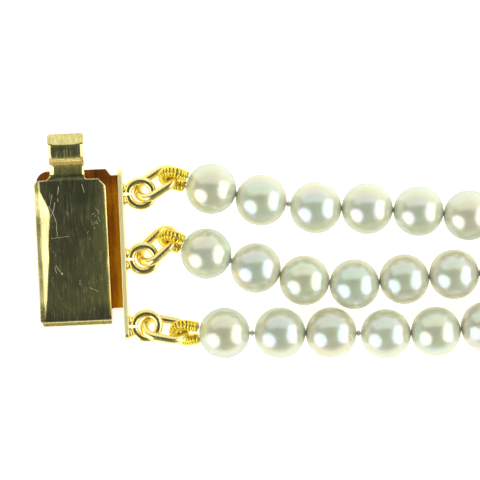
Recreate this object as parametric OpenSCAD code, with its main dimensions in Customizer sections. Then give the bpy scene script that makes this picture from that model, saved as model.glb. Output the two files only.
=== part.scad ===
// Three-strand necklace of round drilled pearls with a gold box clasp, laid out flat with the clasp undone.
// Lengths are millimetres. The loop opens towards -Y, where the clasp is, and Z points up from the surface.

/* [Pearls] */
// Diameter of every pearl
pearl_d = 6.27; // [5.9:0.01:6.28]
// Hole drilled through each pearl
bore_d = 0.8; // [0.7:0.05:1]
// Distance from pearl to pearl round the back of the neck
pitch = 6.5; // [6.45:0.05:6.8]

/* [Thread] */
// Thickness of the thread
thread_d = 0.36; // [0.3:0.02:0.42]
// Thickness of the knot between two pearls
knot_d = 0.84; // [0.7:0.02:0.86]
// Length of a knot along the thread
knot_l = 0.4; // [0.36:0.02:0.6]

/* [Loop] */
// Radius of the inner strand's two bends
bend_r = 33.5; // [33:0.5:35]
// Distance from one strand to the next round the bends
strand_step = 6.85; // [6.6:0.05:7.2]

/* [Rings and links] */
// Outer diameter of the rings on the clasp
ring_d = 4.2; // [4.1:0.05:4.3]
// Wire of those rings
ring_wire = 1; // [0.9:0.05:1.05]
// Length of an oval link
link_l = 6.4; // [6.2:0.1:6.8]
// Width of an oval link
link_w = 4.4; // [4.3:0.05:4.6]
// Wire of an oval link
link_wire = 1.1; // [1:0.05:1.12]
// Thickness of the coiled wire that holds a strand to its link
gimp_d = 1.3; // [1.1:0.05:1.35]

/* [Clasp] */
// Length of the clasp along its plate
clasp_l = 21.8; // [21.6:0.1:23]
// Height of the clasp above the surface
clasp_h = 4.7; // [4.6:0.05:5]
// Thickness of the plate that carries the rings
plate_t = 0.6; // [0.5:0.05:0.8]
// Thickness of the folded spring strip
strip_t = 0.45; // [0.4:0.05:0.5]
// Width of the folded spring strip
strip_w = 9.16; // [8.8:0.02:9.3]
// Outer radius of the fold
fold_r = 0.85; // [0.8:0.05:0.9]
// Length of the upper leaf, from the fold's centre to the shoulders
leaf_l = 18; // [17.6:0.1:18.1]
// Slope of the upper leaf when nothing presses it
leaf_slope = 6.2; // [5.8:0.1:6.3]
// Width of the neck and thumb tab
tab_w = 4.4; // [3.8:0.1:4.6]
// Height of the thumb pad above the neck
tab_rise = 1.05; // [0.8:0.05:1.15]
// Length of the thumb pad's flat top
pad_l = 1.6; // [1.2:0.1:2]

/* [Box] */
// Width of the box
box_w = 11.2; // [11.1:0.05:12]
// Thickness of the box's walls
wall = 0.4; // [0.35:0.05:0.4]
// Height of the lip that hangs over the mouth
lip_h = 1.2; // [0.8:0.1:1.4]

/* [Hidden] */
$fn = 48;

// Pearl centres of the inner, middle and outer strand near the clasp, chosen one by one.
LAID = [
    [[-3.66, 6.54], [2.73, 5.17], [9.63, 3.88], [16.22, 4.22], [22.76, 3.67], [29.15, 3.11]],
    [[-4.3, -1.75], [2.05, -3.47], [8.2, -5.21], [14.59, -5.8], [20.92, -4.84], [27.29, -4.4]],
    [[-1.98, -11.86], [5.1, -11.94], [11.62, -11.66], [18.59, -12.06], [24.98, -11.73], [31.34, -10.88]]
];
bend_x = [-62, 38];
bend_y = 36.5;
bend_step = 6;

// The clasp's own frame: its origin is the middle of the plate and Y runs along the plate.
clasp_at = [-14.85, -1.85];
clasp_turn = 2.6;
ring_y = [7.69, -0.64, -9.23];
ring_off = 2.2;
ring_z = clasp_h / 2;
foot_w = 1.3;
foot_h = 0.9;
link_turn = [33, 43, -10];
box_link_turn = [178, 183, 180];
link_roll = 45;
link_back = 0.28;
box_lead = 9.9;
box_away = 18;
joint_gap = 0.06;
gimp_gap = 0.2;
slide_gap = 0.05;

pearl_r = pearl_d / 2;
ring_r = (ring_d - ring_wire) / 2;
link_r = (link_w - link_wire) / 2;
link_half = (link_l - link_w) / 2;
gimp_turn_r = (gimp_d + link_wire) / 2 + gimp_gap;
gimp_spread = 0.95;
gimp_lean = 0.25;

strip_x1 = -1.86;
strip_x0 = strip_x1 - strip_w;
base_z = wall + slide_gap;
fold_y = -8;
fold_z = base_z + fold_r;
base_y1 = 11.05;
web_y = [-6.8, 10.2];
neck_x0 = -8.9;
neck_x1 = neck_x0 + tab_w;
neck_l = 1.6;
riser_l = 0.9;
brow_l = 0.35;
drop_l = 1.4;
drop_h = 0.7;
box_x1 = -plate_t / 2 - slide_gap;
box_x0 = box_x1 - box_w;

function unit(v) = v / norm(v);
function heading(a) = [cos(a), sin(a)];
function turned(p, a) = [p.x * cos(a) - p.y * sin(a), p.x * sin(a) + p.y * cos(a)];
function in_clasp(x, y) = clasp_at + turned([x, y], clasp_turn);
function solid_point(p, z) = [p.x, p.y, z];

function tongue_ring(i) = in_clasp(plate_t / 2 + ring_off, ring_y[i]);
function box_ring(i) = in_clasp(box_x0 - box_away - ring_off, ring_y[i]);

// The hidden part of a strand: from the last chosen pearl, round both bends, to the pearl beside the box.
function bend(x, r, from) = [for (a = [from:bend_step:from + 180]) [x, bend_y] + r * heading(a)];
function last_pearl(i) = box_ring(i) + box_lead * heading(box_link_turn[i]);
function way(i) = let (r = bend_r + i * strand_step)
    concat([LAID[i][5]], bend(bend_x[1], r, -90), bend(bend_x[0], r, 90), [last_pearl(i)]);
function run(p, i = 0, s = 0) =
    i == len(p) - 1 ? [s] : concat([s], run(p, i + 1, s + norm(p[i + 1] - p[i])));
function spaced(p) = let (
        s = run(p),
        total = s[len(p) - 1],
        count = round(total / pitch),
        xs = [for (i = [0:len(p) - 1]) [s[i], p[i].x]],
        ys = [for (i = [0:len(p) - 1]) [s[i], p[i].y]]
    ) [for (k = [1:count]) [lookup(k * total / count, xs), lookup(k * total / count, ys)]];
STRUNG = [for (i = [0:2]) concat(LAID[i], spaced(way(i)))];

// The knots: one between each pair of pearls, set outside the bend there by its bow, so that the thread runs
// straight through the middle of each pearl, and the thread's two ends at the outermost pearls.
function bow(c, k) =
    k < 1 || k > len(c) - 2 ? [0, 0] :
    let (b = c[k - 1] - 2 * c[k] + c[k + 1], d = unit(c[k + 1] - c[k - 1])) b - (b * d) * d;
function knot(c, k) = (c[k - 1] + c[k]) / 2 - (bow(c, k - 1) + bow(c, k)) / 8;
function knots(c) = let (n = len(c) - 1) concat(
    [c[0] + pearl_r * unit(c[0] - knot(c, 1))],
    [for (k = [1:n]) knot(c, k)],
    [c[n] + pearl_r * unit(c[n] - knot(c, n))]
);
KNOTS = [for (c = STRUNG) knots(c)];

// Each pearl sits on the straight piece of thread between its two knots.
function on_line(p, a, b) = let (d = unit(b - a)) a + ((p - a) * d) * d;
PEARLS = [for (i = [0:2])
    [for (k = [0:len(STRUNG[i]) - 1]) on_line(STRUNG[i][k], KNOTS[i][k], KNOTS[i][k + 1])]];

// The frame's origin is under the middle of the whole necklace.
all_x = [for (c = PEARLS) for (p = c) p.x];
all_y = [for (c = PEARLS) for (p = c) p.y];
middle = [(min(all_x) + max(all_x)) / 2, (min(all_y) + max(all_y)) / 2];

module placed() {
    translate([-middle.x, -middle.y, 0])
        children();
}

module clasp_frame() {
    placed()
        translate([clasp_at.x, clasp_at.y, 0])
            rotate(clasp_turn)
                children();
}

// A closed tube through the places p with the radius r[i] at each and n flat sides.
module tube(p, r, ref, n) {
    last = len(p) - 1;
    points = [for (i = [0:last])
        let (
            d = unit(p[min(i + 1, last)] - p[max(i - 1, 0)]),
            a = unit(cross(ref, d)),
            b = cross(d, a)
        )
        for (k = [0:n - 1]) p[i] + r[i] * (cos(360 * k / n) * a + sin(360 * k / n) * b)];
    sides = [for (i = [0:last - 1]) for (k = [0:n - 1])
        let (a = i * n + k, b = i * n + (k + 1) % n)
        each [[a, a + n, b + n], [a, b + n, b]]];
    polyhedron(
        points = points,
        faces = concat(
            sides,
            [[for (k = [0:n - 1]) k]],
            [[for (k = [n - 1:-1:0]) last * n + k]]
        ),
        convexity = 8
    );
}

module pearls(i) {
    color("ivory")
        placed()
            for (k = [0:len(PEARLS[i]) - 1])
                pearl(PEARLS[i][k], KNOTS[i][k], KNOTS[i][k + 1]);
}

module pearl(c, from, to) {
    along = to - from;
    translate([c.x, c.y, pearl_r])
        rotate([0, 90, atan2(along.y, along.x)])
            difference() {
                sphere(r = pearl_r);
                cylinder(d = bore_d, h = 2 * pearl_d, center = true);
            }
}

module thread(i) {
    v = KNOTS[i];
    n = len(v) - 1;
    path = concat(
        [solid_point(v[0], pearl_r)],
        [for (k = [1:n - 1])
            let (before = unit(v[k] - v[k - 1]), after = unit(v[k + 1] - v[k]))
            each [
                solid_point(v[k] - knot_l / 2 * before, pearl_r),
                solid_point(v[k], pearl_r),
                solid_point(v[k] + knot_l / 2 * after, pearl_r)
            ]],
        [solid_point(v[n], pearl_r)]
    );
    radii = [for (k = [0:len(path) - 1]) (k % 3 == 2 ? knot_d : thread_d) / 2];
    color("cornsilk")
        placed()
            tube(path, radii, [0, 0, 1], 6);
}

// A link's frame: X along the link, Y across it with the -Y side rolled up, and its far bend's centre.
function link_along(a) = [cos(a), sin(a), 0];
function link_across(a) = [sin(a) * cos(link_roll), -cos(a) * cos(link_roll), sin(link_roll)];
function link_middle(ring, a) =
    solid_point(ring, ring_z) + (link_half + link_r - link_back) * link_along(a);
function link_far(ring, a) = link_middle(ring, a) + link_half * link_along(a);

module link(ring, a) {
    color("gold")
        placed()
            translate(link_middle(ring, a))
                rotate([-link_roll, 0, a])
                    union() {
                        for (side = [-1, 1]) {
                            translate([0, side * link_r, 0])
                                rotate([0, 90, 0])
                                    cylinder(d = link_wire, h = 2 * link_half, center = true);
                            translate([side * link_half, 0, 0])
                                rotate(-90 * side)
                                    rotate_extrude(angle = 180)
                                        translate([link_r, 0])
                                            circle(d = link_wire);
                        }
                    }
}

// The coiled wire hooks round the link's far bend, square to it, and both its legs reach the pearl.
function ease(s) = s * s * (3 - 2 * s);
function gimp_path(ring, a, pearl) =
    let (
        far = link_far(ring, a),
        eye = solid_point(pearl, pearl_r),
        pull = unit(eye - far),
        turn = atan2(pull * link_across(a), pull * link_along(a)),
        hook = far + link_r * (cos(turn) * link_along(a) + sin(turn) * link_across(a)),
        wire = cos(turn) * link_across(a) - sin(turn) * link_along(a),
        g = unit(eye - hook),
        q = unit(wire - (wire * g) * g),
        k = cross(q, g),
        flat = unit(cross(g, [0, 0, 1])),
        level = flat * k > 0 ? flat : -flat,
        aside = gimp_spread * unit(k + gimp_lean * level),
        reach = norm(eye - hook) - pearl_r - slide_gap,
        leg = [for (s = [0:0.2:1])
            let (e = ease(min(1, s / 0.8)))
            [reach * s, (1 - e) * gimp_turn_r * k + e * aside]]
    )
    [
        q,
        concat(
            [for (j = [5:-1:1]) hook + leg[j][0] * g + leg[j][1]],
            [for (t = [0:20:180]) hook + gimp_turn_r * (cos(t) * k - sin(t) * g)],
            [for (j = [1:5]) hook + leg[j][0] * g - leg[j][1]]
        )
    ];

module gimp(ring, a, pearl) {
    path = gimp_path(ring, a, pearl);
    color("goldenrod")
        placed()
            tube(path[1], [for (p = path[1]) gimp_d / 2], path[0], 12);
}

module ring(x) {
    translate([x, 0, ring_z])
        rotate_extrude()
            translate([ring_r, 0])
                circle(d = ring_wire);
}

// A plate's outline with rounded corners, as a list of points.
function rounded(x0, y0, x1, y1, r) = [
    for (c = [[x1, y1, 0], [x0, y1, 90], [x0, y0, 180], [x1, y0, 270]])
        for (a = [0:22.5:90])
            [c.x + (c.x == x1 ? -r : r), c.y + (c.y == y1 ? -r : r)] + r * heading(c.z + a)
];

// The outline of a sheet of thickness t under the bent line p.
function square_to(p, i) = let (d = unit(p[i + 1] - p[i])) [-d.y, d.x];
function mitre(p, i) =
    i == 0 ? square_to(p, 0) :
    i == len(p) - 1 ? square_to(p, i - 1) :
    let (a = square_to(p, i - 1), b = square_to(p, i)) (a + b) / (1 + a * b);
function sheet(p, t) = concat(p, [for (i = [len(p) - 1:-1:0]) p[i] - t * mitre(p, i)]);

module clasp_tongue() {
    color("gold")
        clasp_frame()
            union() {
                plate();
                base_leaf();
                fold();
                for (y = ring_y)
                    translate([0, y, 0])
                        ringed_foot(plate_t / 2, 1);
            }
}

module plate() {
    translate([plate_t / 2, 0, 0])
        rotate([0, -90, 0])
            linear_extrude(plate_t)
                polygon(rounded(0, -clasp_l / 2, clasp_h, clasp_l / 2, 1));
}

// A ring and the foot that joins it to a wall at x, on the side that way points to.
module ringed_foot(x, way) {
    ring(x + way * ring_off);
    reach = ring_off - ring_r + 0.2;
    translate([x + way * (reach / 2 - 0.1), 0, ring_z])
        cube([reach, foot_w, foot_h], center = true);
}

module base_leaf() {
    translate([0, 0, base_z])
        linear_extrude(strip_t)
            polygon([
                [strip_x0, fold_y],
                [strip_x1, fold_y],
                [strip_x1, web_y[0]],
                [-plate_t / 4, web_y[0]],
                [-plate_t / 4, web_y[1]],
                [strip_x1 + 0.6, web_y[1]],
                [strip_x1, base_y1],
                [strip_x0 + 1.5, base_y1],
                [strip_x0 + 0.65, base_y1 - 0.35],
                [strip_x0 + 0.25, base_y1 - 1.3]
            ]);
}

module fold() {
    sweep = 180 - leaf_slope;
    intersection() {
        translate([strip_x0, fold_y, fold_z])
            rotate([0, 90, 0])
                rotate(-sweep)
                    rotate_extrude(angle = sweep)
                        translate([fold_r - strip_t, 0])
                            square([strip_t, strip_w]);
        linear_extrude(clasp_h)
            polygon([
                [strip_x0, fold_y + 1],
                [strip_x0, fold_y + 0.1],
                [strip_x0 + 0.6, fold_y - fold_r],
                [strip_x1 - 0.3, fold_y - fold_r],
                [strip_x1, fold_y - fold_r + 0.4],
                [strip_x1, fold_y + 1]
            ]);
    }
}

// The upper leaf in its own frame, where it lies level and the fold's centre is the origin.
function leaf_line() = let (
        a = leaf_l + neck_l,
        b = a + riser_l,
        c = b + brow_l,
        d = c + pad_l
    ) [
        [joint_gap, fold_r],
        [a, fold_r],
        [b, fold_r + tab_rise - 0.15],
        [c, fold_r + tab_rise],
        [d, fold_r + tab_rise],
        [d + drop_l, fold_r + tab_rise - drop_h]
    ];

function leaf_outline() = let (end = leaf_l + neck_l + riser_l + brow_l + pad_l + drop_l + 1) [
    [strip_x0, 0],
    [strip_x1, 0],
    [strip_x1, leaf_l - 0.95],
    [strip_x1 - 0.95, leaf_l],
    [neck_x1 + 0.3, leaf_l],
    [neck_x1, leaf_l + 0.3],
    [neck_x1, end],
    [neck_x0, end],
    [neck_x0, leaf_l + 0.9],
    [neck_x0 - 0.25, leaf_l + 0.3],
    [neck_x0 - 0.8, leaf_l],
    [strip_x0 + 0.6, leaf_l],
    [strip_x0 + 0.15, leaf_l - 0.2],
    [strip_x0, leaf_l - 0.65]
];

module spring_leaf() {
    color("gold")
        clasp_frame()
            translate([0, fold_y, fold_z])
                rotate([leaf_slope, 0, 0])
                    intersection() {
                        translate([strip_x0, 0, 0])
                            rotate([90, 0, 90])
                                linear_extrude(strip_w)
                                    polygon(sheet(leaf_line(), strip_t));
                        linear_extrude(clasp_h)
                            polygon(leaf_outline());
                    }
}

module clasp_box() {
    half = clasp_l / 2;
    roof = clasp_h - wall;
    color("gold")
        clasp_frame()
            translate([-box_away, 0, 0]) {
                difference() {
                    linear_extrude(clasp_h)
                        polygon(rounded(box_x0, -half, box_x1, half, 0.8));
                    translate([box_x0 + wall, wall - half, wall])
                        cube([box_w - 2 * wall, clasp_l - 2 * wall, roof - wall]);
                    translate([box_x0 + wall + 0.4, half - 2 * wall, wall])
                        cube([box_w - 2 * wall - 0.8, 3 * wall, roof - wall - lip_h]);
                    translate([neck_x0 - 0.3, half - 2 * wall, wall])
                        cube([tab_w + 0.6, 3 * wall, roof - wall]);
                    translate([box_x1 - 2 * wall, web_y[0] - 0.15, wall])
                        cube([3 * wall, clasp_l, strip_t + 3 * slide_gap]);
                }
                for (y = ring_y)
                    translate([0, y, 0])
                        ringed_foot(box_x0, -1);
            }
}

clasp_tongue();
spring_leaf();
clasp_box();
link(tongue_ring(0), link_turn[0]);  // link_tongue_1
link(tongue_ring(1), link_turn[1]);  // link_tongue_2
link(tongue_ring(2), link_turn[2]);  // link_tongue_3
link(box_ring(0), box_link_turn[0]);  // link_box_1
link(box_ring(1), box_link_turn[1]);  // link_box_2
link(box_ring(2), box_link_turn[2]);  // link_box_3
gimp(tongue_ring(0), link_turn[0], LAID[0][0]);  // gimp_tongue_1
gimp(tongue_ring(1), link_turn[1], LAID[1][0]);  // gimp_tongue_2
gimp(tongue_ring(2), link_turn[2], LAID[2][0]);  // gimp_tongue_3
gimp(box_ring(0), box_link_turn[0], last_pearl(0));  // gimp_box_1
gimp(box_ring(1), box_link_turn[1], last_pearl(1));  // gimp_box_2
gimp(box_ring(2), box_link_turn[2], last_pearl(2));  // gimp_box_3
pearls(0);  // pearls_inner
pearls(1);  // pearls_middle
pearls(2);  // pearls_outer
thread(0);  // thread_inner
thread(1);  // thread_middle
thread(2);  // thread_outer
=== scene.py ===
"""Looks for the three-strand pearl necklace: pearls, knotted silk, coiled wire and polished gold."""

import math

import bmesh
import bpy
import numpy as np
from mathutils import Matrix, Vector


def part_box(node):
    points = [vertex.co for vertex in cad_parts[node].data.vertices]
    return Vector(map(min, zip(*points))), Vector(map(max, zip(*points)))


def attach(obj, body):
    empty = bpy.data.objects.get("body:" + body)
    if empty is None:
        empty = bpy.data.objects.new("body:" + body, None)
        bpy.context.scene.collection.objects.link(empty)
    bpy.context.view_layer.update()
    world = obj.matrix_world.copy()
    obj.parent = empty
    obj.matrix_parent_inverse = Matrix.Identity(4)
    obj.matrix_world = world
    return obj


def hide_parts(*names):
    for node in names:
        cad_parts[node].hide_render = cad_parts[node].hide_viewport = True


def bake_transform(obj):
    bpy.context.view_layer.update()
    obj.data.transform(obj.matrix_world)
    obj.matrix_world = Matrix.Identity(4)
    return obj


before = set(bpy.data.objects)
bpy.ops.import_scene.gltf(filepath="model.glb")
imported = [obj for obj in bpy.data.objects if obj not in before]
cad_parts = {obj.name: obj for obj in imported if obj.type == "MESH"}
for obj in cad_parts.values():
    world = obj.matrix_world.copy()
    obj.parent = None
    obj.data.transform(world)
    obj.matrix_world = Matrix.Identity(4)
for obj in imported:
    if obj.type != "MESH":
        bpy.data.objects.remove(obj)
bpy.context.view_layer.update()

MM = 0.001
STRANDS = ("inner", "middle", "outer")

# The clasp, its links and the pearls, as part.scad has them, in millimetres and degrees.
CLASP_AT = (-14.85, -1.85)
CLASP_TURN = 2.6
CLASP_L = 21.8
CLASP_H = 4.7
PLATE_T = 0.6
RING_Y = (7.69, -0.64, -9.23)
RING_Z = CLASP_H / 2
RING_OFF = 2.2
RING_R = 1.6
RING_WIRE = 1.0
LINK_R = 1.65
LINK_HALF = 1.0
LINK_WIRE = 1.1
LINK_BACK = 0.28
LINK_ROLL = 45
LINK_TURN = (33, 43, -10)
BOX_LINK_TURN = (178, 183, 180)
GIMP_R = 0.65
GIMP_GAP = 0.2
GIMP_SPREAD = 0.95
GIMP_LEAN = 0.25
SLIDE_GAP = 0.05
WALL = 0.4
STRIP_T = 0.45
STRIP_W = 9.16
STRIP_X1 = -1.86
STRIP_X0 = STRIP_X1 - STRIP_W
BASE_Z = WALL + SLIDE_GAP
FOLD_R = 0.85
FOLD_Y = -8.0
FOLD_Z = BASE_Z + FOLD_R
BASE_Y1 = 11.05
WEB_Y = (-6.8, 10.2)
LEAF_L = 18.0
LEAF_SLOPE = 6.2
TAB_W = 4.4
NECK_X0 = -8.9
NECK_X1 = NECK_X0 + TAB_W
RISER_L = 0.9
BROW_DROP = 0.15
PAD_L = 1.6
DROP_L = 1.4
DROP_H = 0.7
TAB_RISE = 1.05
BOX_W = 11.2
BOX_X0 = -PLATE_T / 2 - SLIDE_GAP - BOX_W
BOX_AWAY = 18
FIRST_PEARL = (-3.66, 6.54)
PEARL_R = 6.27 / 2
BORE_R = 0.4
KNOT_R = 0.42
KNOT_HALF = 0.2

# The pearls, the silk and the coils, where the visual model is fuller or finer.
PEARL_HALF_H = PEARL_R * 1.025
FULL_PEARL_R = PEARL_R * 1.055
END_PEARL_R = PEARL_R * 1.03
PEARL_SPACE = 0.01
FILM_NM = (320, 580)
THREAD_R = 0.17
TIGHT_KNOT_R = 0.30
TIGHT_KNOT_HALF = 0.08
COIL_R = 0.74
COIL_WIRE_R = 0.16
COIL_PITCH = 0.345
COIL_UNEVEN = 0.25
CORE_R = 0.20

# A knot from side to side, as (share of its half length, how much of its fullness it has there).
KNOT_PROFILE = ((-1.0, 0.0), (-0.7, 0.55), (-0.3, 0.92), (0.1, 1.0), (0.55, 0.75), (1.0, 0.0))

# The strip, where the visual model differs: its neck is longer and its brow shorter, as the photo has them.
NECK_L = 1.88
BROW_L = 0.22
STRIP_EDGE = 0.07
LEAF_CROWN = 0.20
LEAF_ARCH = 0.12
NECK_SWEEP = 0.12
TAB_SMILE = 0.16
TAB_FLARE = 0.12
RISER_LIP = 0.07
RISER_LIP_SLOPE = 0.848
ROLL_TILT = 17
ROLL_LIP = 0.66
ROLL_LIP_TILT = 5.5
ROLL_SOFT = 0.05
RIDGE_H = 0.05
FOLD_STEPS = 36
FOLD_EDGE = 14
FOLD_FLAT_TILT = 38
FOLD_FLAT_END = 0.80

# The radii of the strip's corners, and how far the fold is notched on each side.
TAB_CORNER = 0.35
NECK_FILLET = 0.35
NECK_HOLLOW = 0.85
SHOULDER_CORNER = 0.75
WEB_FILLET = 0.25
BASE_CORNER = 1.5
FOLD_NOTCH_WEST = 0.6
FOLD_NOTCH_EAST = 0.12

# The width of the leaf's pressed margin at some distances from its shoulder.
ROLL_BORDER = (
    (1.4, 0.74),
    (3.8, 1.82),
    (4.6, 1.95),
    (6.2, 1.66),
    (7.9, 1.55),
    (10.4, 1.47),
    (12.5, 1.25),
    (14.9, 1.00),
    (17.9, 0.70),
)

# Scratches and knocks on the leaf that can be told apart, as (from u, v, to u, v, half width) on the clasp.
STROKES = (
    (-9.20, 6.55, -8.72, 5.65, 0.035),
    (-8.72, 5.65, -8.38, 4.50, 0.035),
    (-8.38, 4.50, -8.33, 2.70, 0.030),
    (-8.40, 7.00, -8.62, 6.10, 0.040),
    (-8.62, 6.10, -8.95, 5.30, 0.030),
    (-8.75, 8.05, -9.05, 6.70, 0.025),
    (-7.85, 9.00, -8.03, 8.00, 0.040),
    (-8.03, 7.45, -8.02, 7.15, 0.045),
    (-4.90, 9.15, -4.60, 8.15, 0.030),
    (-8.70, -1.05, -8.10, -2.00, 0.030),
    (-7.97, -2.08, -7.93, -2.16, 0.120),
    (-8.85, -1.20, -8.60, -2.00, 0.025),
    (-4.50, -4.05, -3.45, -4.55, 0.025),
    (-6.75, 2.60, -9.10, 2.45, 0.020),
    (-5.70, -3.00, -5.72, -3.60, 0.030),
    (-3.60, 4.00, -3.20, 4.45, 0.022),
    (-3.80, 5.25, -3.40, 5.50, 0.022),
    (-3.05, 5.00, -2.75, 4.30, 0.026),
    (-3.30, 6.10, -3.05, 5.80, 0.026),
    (-3.00, 5.75, -2.85, 5.35, 0.030),
    (-3.55, 4.90, -3.35, 5.15, 0.022),
    (-3.25, 4.20, -3.05, 4.05, 0.026),
    (-3.60, 3.40, -3.45, 3.65, 0.022),
    (-4.50, 2.90, -4.35, 3.15, 0.018),
    (-4.20, 2.40, -4.12, 2.10, 0.018),
)
STROKE_DRIFT = 0.16

# The plate's round corners and soft edges.
PLATE_CORNER = 1.0
PLATE_EDGE = 0.09

# Half sizes of a foot of solder, and how far it lies from its ring's middle line.
SOLDER_SIZE = (0.40, 0.62, 0.55)
SOLDER_ASIDE = 0.80
SOLDER_SUNK = 0.12

# Colours of metal and light.
YELLOW = (1.0, 0.83, 0.34, 1)
PALE_GOLD = (1.0, 0.88, 0.58, 1)
COOL = (0.93, 1.0, 1.07)
WHITE = (1, 1, 1, 1)
ROOM_TONES = (
    (0.0, (0.62, 0.62, 0.54)),
    (0.14, (0.52, 0.52, 0.45)),
    (0.27, (0.20, 0.21, 0.17)),
    (0.50, (0.080, 0.085, 0.072)),
    (0.80, (0.100, 0.110, 0.095)),
    (0.92, (0.110, 0.130, 0.095)),
    (0.955, (0.080, 0.096, 0.100)),
    (0.977, (0.056, 0.073, 0.095)),
    (1.0, (0.034, 0.045, 0.065)),
)
BRIGHT_SIDE = (0.80, -0.60, 0.0)
SIDE_TONES = ((0.12, 0.0), (0.42, (0.09, 0.105, 0.065)))
FLOOR_GLOW = 0.70
FLOOR_FILL = 0.60

# The floor and the camera, in metres.
FLOOR_SIZE = 12
FLOOR_Z = -0.00003
PICTURE_W = 0.0612
CAMERA_Z = 0.6
SENSOR = 36


def rad(a):
    return math.radians(a)


def heading(a):
    return np.array([math.cos(rad(a)), math.sin(rad(a)), 0.0])


def unit(v):
    return v / np.linalg.norm(v)


def turned(v, angle):
    """A flat vector turned anticlockwise by an angle in radians."""
    c, s = math.cos(angle), math.sin(angle)
    return np.array([v[0] * c - v[1] * s, v[0] * s + v[1] * c])


def left_of(v):
    return np.array([-v[1], v[0]])


def ease(s):
    return s * s * (3 - 2 * s)


def ramp_up(x, start, end):
    return ease(min(1.0, max(0.0, (x - start) / (end - start))))


def swell(x, at, wide, high):
    return high * math.exp(-(((x - at) / wide) ** 2))


# Meshes


def shown(name, mesh, material, sharp):
    """The mesh as a smooth object, with edges over the sharp angle kept crisp."""
    mesh.shade_smooth()
    mesh.set_sharp_from_angle(angle=rad(sharp))
    mesh.materials.append(material)
    obj = bpy.data.objects.new(name, mesh)
    bpy.context.scene.collection.objects.link(obj)
    return obj


def make(name, verts, faces, material, sharp):
    """An object from points in millimetres."""
    mesh = bpy.data.meshes.new(name)
    mesh.from_pydata([tuple(float(c) * MM for c in v) for v in verts], [], faces)
    mesh.validate()
    return shown(name, mesh, material, sharp)


def joined(parts):
    """Several (verts, faces) meshes as one."""
    verts, faces = [], []
    for v, f in parts:
        base = len(verts)
        verts.extend(v)
        faces.extend([[i + base for i in face] for face in f])
    return verts, faces


def on_ball(t, a):
    """A point of the unit ball, t from its pole and a round its axis."""
    return np.array([math.cos(t), math.sin(t) * math.cos(a), math.sin(t) * math.sin(a)])


def between_rings(rings, sides, closed=False):
    """Faces between neighbouring rings of points, and from the last ring to the first if closed."""
    faces = []
    for k in range(rings if closed else rings - 1):
        a, b = k * sides, (k + 1) % rings * sides
        for j in range(sides):
            after_j = (j + 1) % sides
            faces.append([a + j, a + after_j, b + after_j, b + j])
    return faces


def sweep(path, radii, sides, closed=False, ref=(0.0, 0.0, 1.0), square=2.0):
    """A wire along path, round or with flatter sides. Its cross-sections turn as little as they can."""
    path = np.asarray(path, float)
    n = len(path)
    radii = np.broadcast_to(np.asarray(radii, float), (n,))
    if closed:
        along = np.roll(path, -1, 0) - np.roll(path, 1, 0)
    else:
        along = np.gradient(path, axis=0)
    along /= np.linalg.norm(along, axis=1)[:, None]
    side = np.array(ref, float)
    side = side - side @ along[0] * along[0]
    if np.linalg.norm(side) < 1e-6:
        side = np.cross(along[0], (1.0, 0.0, 0.0))
    side = unit(side)
    turn = np.arange(sides) * 2 * math.pi / sides
    c, d = np.cos(turn), np.sin(turn)
    stretch = (np.abs(c) ** square + np.abs(d) ** square) ** (-1 / square)
    verts = []
    for k in range(n):
        side = unit(side - side @ along[k] * along[k])
        up = np.cross(along[k], side)
        verts.extend(path[k] + radii[k] * (np.outer(stretch * c, side) + np.outer(stretch * d, up)))
    faces = between_rings(n, sides, closed)
    if not closed:
        faces.append([sides - 1 - j for j in range(sides)])
        faces.append([(n - 1) * sides + j for j in range(sides)])
    return verts, faces


def paced(path, step):
    """The path again with even steps no longer than step, and its length."""
    path = np.asarray(path, float)
    s = np.concatenate([[0], np.cumsum(np.linalg.norm(np.diff(path, axis=0), axis=1))])
    n = max(2, int(math.ceil(s[-1] / step)) + 1)
    t = np.linspace(0, s[-1], n)
    return np.stack([np.interp(t, s, path[:, k]) for k in range(3)], 1), s[-1]


def soften_rims(bm, one_side, offset, clamp):
    """Turns a slab's faces outward and rounds off both its rims. The corners of one side are given."""
    bmesh.ops.recalc_face_normals(bm, faces=bm.faces)
    given = set(one_side)
    rims = [e for e in bm.edges if (e.verts[0] in given) == (e.verts[1] in given)]
    bmesh.ops.bevel(
        bm, geom=rims, offset=offset, segments=3, profile=0.5, affect="EDGES", clamp_overlap=clamp
    )


def slice_mesh(bm, at, across):
    bmesh.ops.bisect_plane(
        bm, geom=bm.verts[:] + bm.edges[:] + bm.faces[:], plane_co=at, plane_no=across, dist=1e-5
    )


# Where the pearls and the clasp lie


def pearl_centres(node_name):
    """The pearls' centres in millimetres, from the tongue round to the box, read off the CAD strand."""
    bm = bmesh.new()
    bm.from_mesh(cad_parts[node_name].data)
    bmesh.ops.remove_doubles(bm, verts=bm.verts, dist=1e-7)
    left, centres = set(bm.verts), []
    while left:
        island, edge = set(), [next(iter(left))]
        while edge:
            v = edge.pop()
            if v in island:
                continue
            island.add(v)
            edge.extend(e.other_vert(v) for e in v.link_edges)
        left -= island
        co = np.array([v.co for v in island])
        centres.append((co.min(0) + co.max(0)) / 2 / MM)
    bm.free()
    low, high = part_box("clasp_tongue")
    tongue = (np.array(high) + np.array(low)) / 2 / MM
    # The string leaves the tongue to the east, so its first pearl is looked for there.
    at, chain = tongue, []
    while centres:
        ahead = [i for i, c in enumerate(centres) if chain or c[0] > tongue[0]]
        nearest = min(ahead, key=lambda i: np.linalg.norm(centres[i] - at))
        at = centres.pop(nearest)
        chain.append(at)
    return chain


PEARLS = {name: pearl_centres("pearls_" + name) for name in STRANDS}

# Where the origin of the measured places lies in the row frame. It is also the middle of the picture.
SHIFT = PEARLS["inner"][0][:2] - np.array(FIRST_PEARL)


def in_clasp(u, v, z=0.0):
    """A point of the clasp's own frame in the row frame, in millimetres."""
    x, y = np.array(CLASP_AT) + SHIFT + turned((u, v), rad(CLASP_TURN))
    return np.array([x, y, z])


# Materials


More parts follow.
